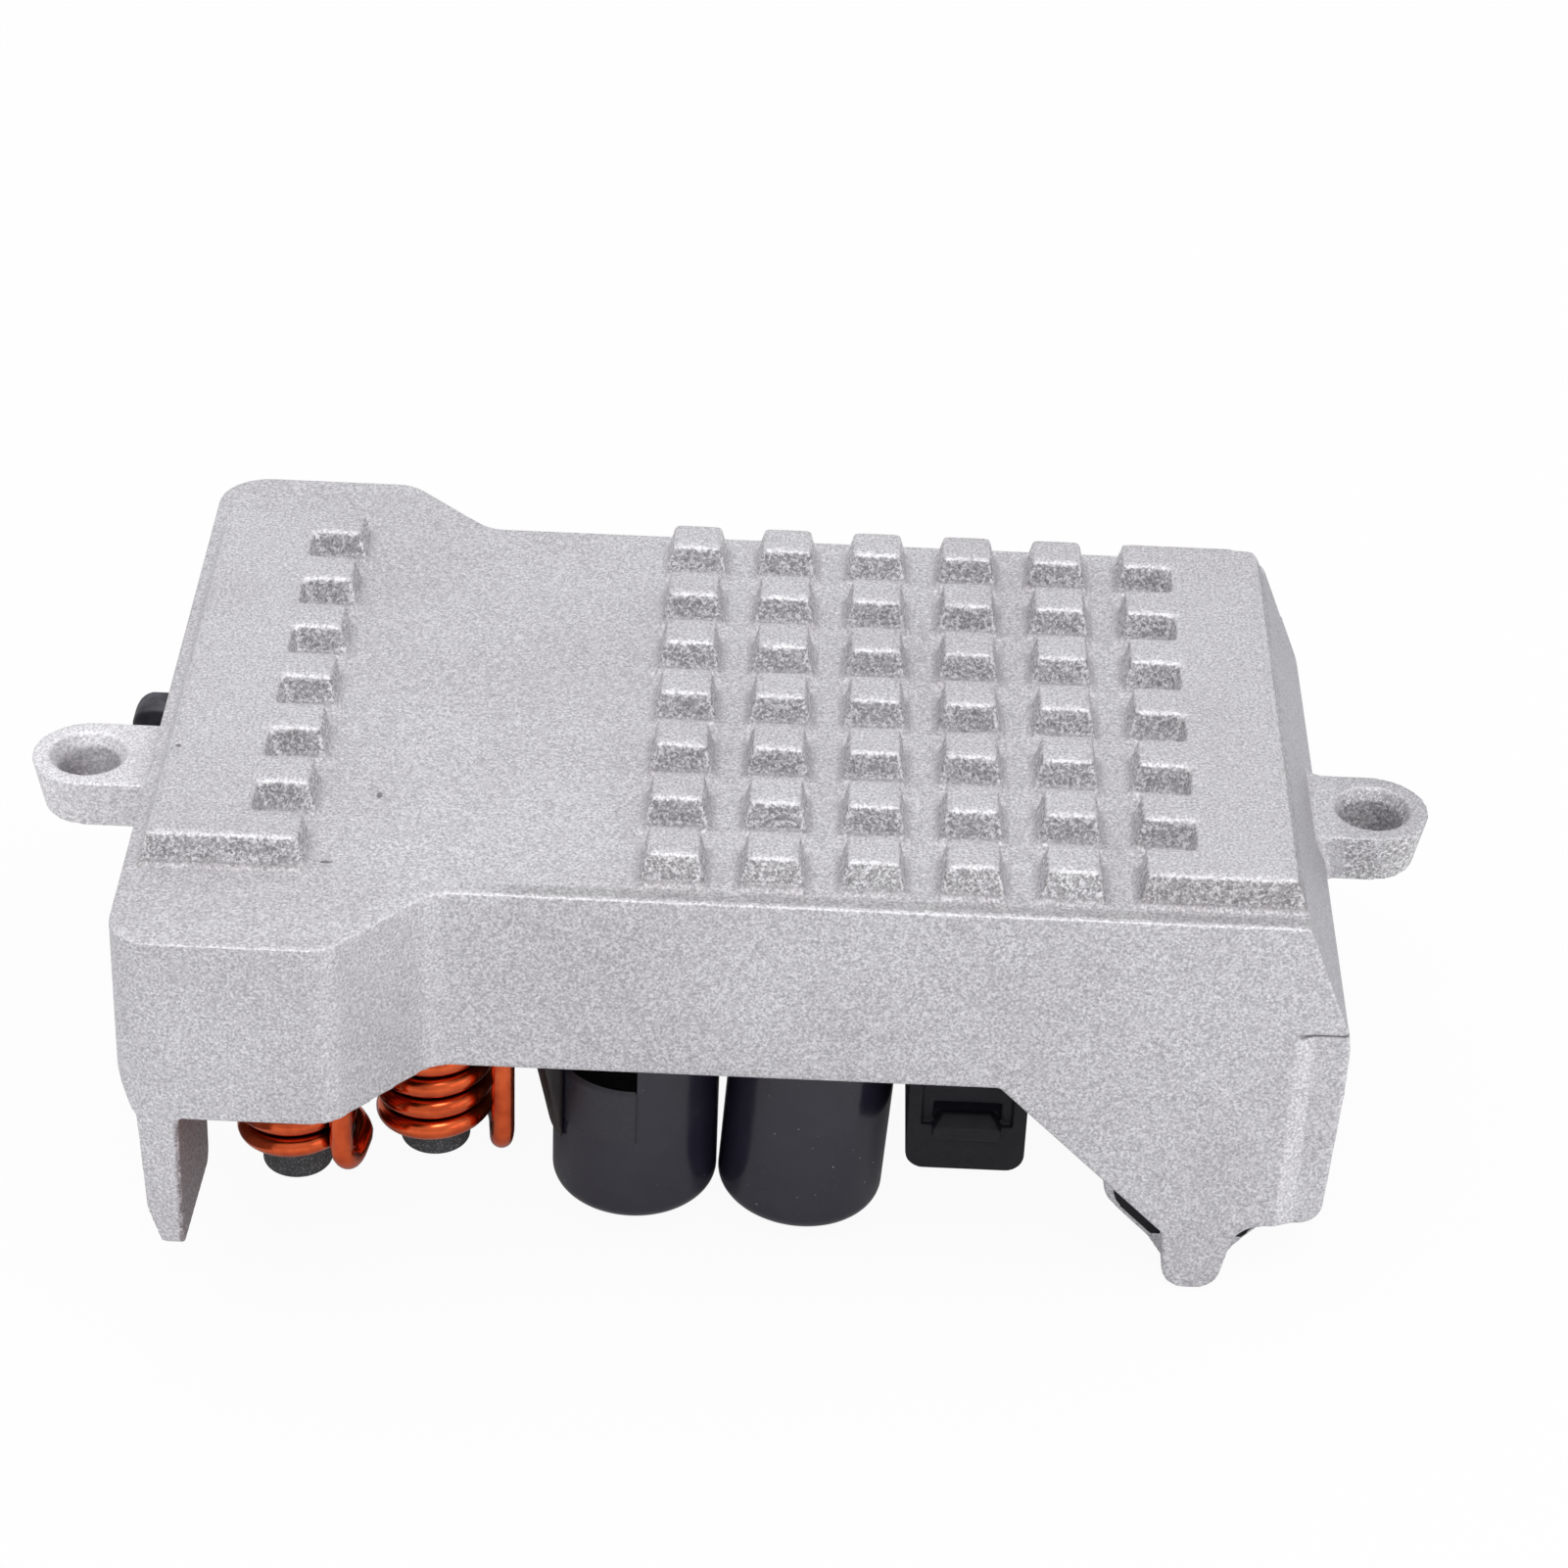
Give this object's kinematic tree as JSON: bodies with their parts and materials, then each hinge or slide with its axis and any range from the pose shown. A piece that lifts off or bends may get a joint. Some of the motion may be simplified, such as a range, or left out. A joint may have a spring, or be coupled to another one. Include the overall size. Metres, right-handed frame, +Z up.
{
  "type": "blower motor resistor",
  "caption": "Cast aluminium blower motor regulator with a pin-fin top, lugs, legs, wire-wound chokes, capacitors and plug sockets below.",
  "frame": {"origin": "midway between the two lug holes, on the lugs' lower face, where the screw heads bear", "axes": "+X from the wide end's lug to the sloped end's lug, +Y to the back, away from the capacitors, +Z up, the way the pins point"},
  "size_m": [0.1498, 0.0915, 0.0504],
  "materials": {
    "cast_aluminium": "bead-blasted die casting",
    "black_moulding": "matte moulded",
    "board_laminate": "solder resist",
    "plated_steel": "zinc plated",
    "capacitor_sleeve": "shrunk vinyl sleeve",
    "ferrite": "ground ferrite",
    "copper_wire": "enamelled copper",
    "tinned_brass": "tinned",
    "epoxy_package": "moulded epoxy",
    "silicone_pad": "soft pad",
    "shunt_alloy": "rolled strip",
    "chip_ceramic": "fired ceramic"
  },
  "bodies": {
    "root": {"heat_sink_housing": "cast_aluminium", "bottom_cover": "black_moulding", "circuit_board": "board_laminate", "cover_screws": "plated_steel", "capacitor_1": "capacitor_sleeve", "capacitor_2": "capacitor_sleeve", "choke_core_1": "ferrite", "choke_core_2": "ferrite", "choke_winding_1": "copper_wire", "choke_winding_2": "copper_wire", "control_socket": "black_moulding", "control_terminals": "tinned_brass", "power_socket": "black_moulding", "power_terminals": "tinned_brass", "power_transistor_1": "epoxy_package", "power_transistor_2": "epoxy_package", "freewheel_diode": "epoxy_package", "insulating_pads": "silicone_pad", "tab_screws": "plated_steel", "current_shunt": "shunt_alloy", "control_chip": "epoxy_package", "chip_resistors": "epoxy_package", "chip_capacitors": "chip_ceramic", "suppressor_diode": "epoxy_package"}
  },
  "joints": []
}
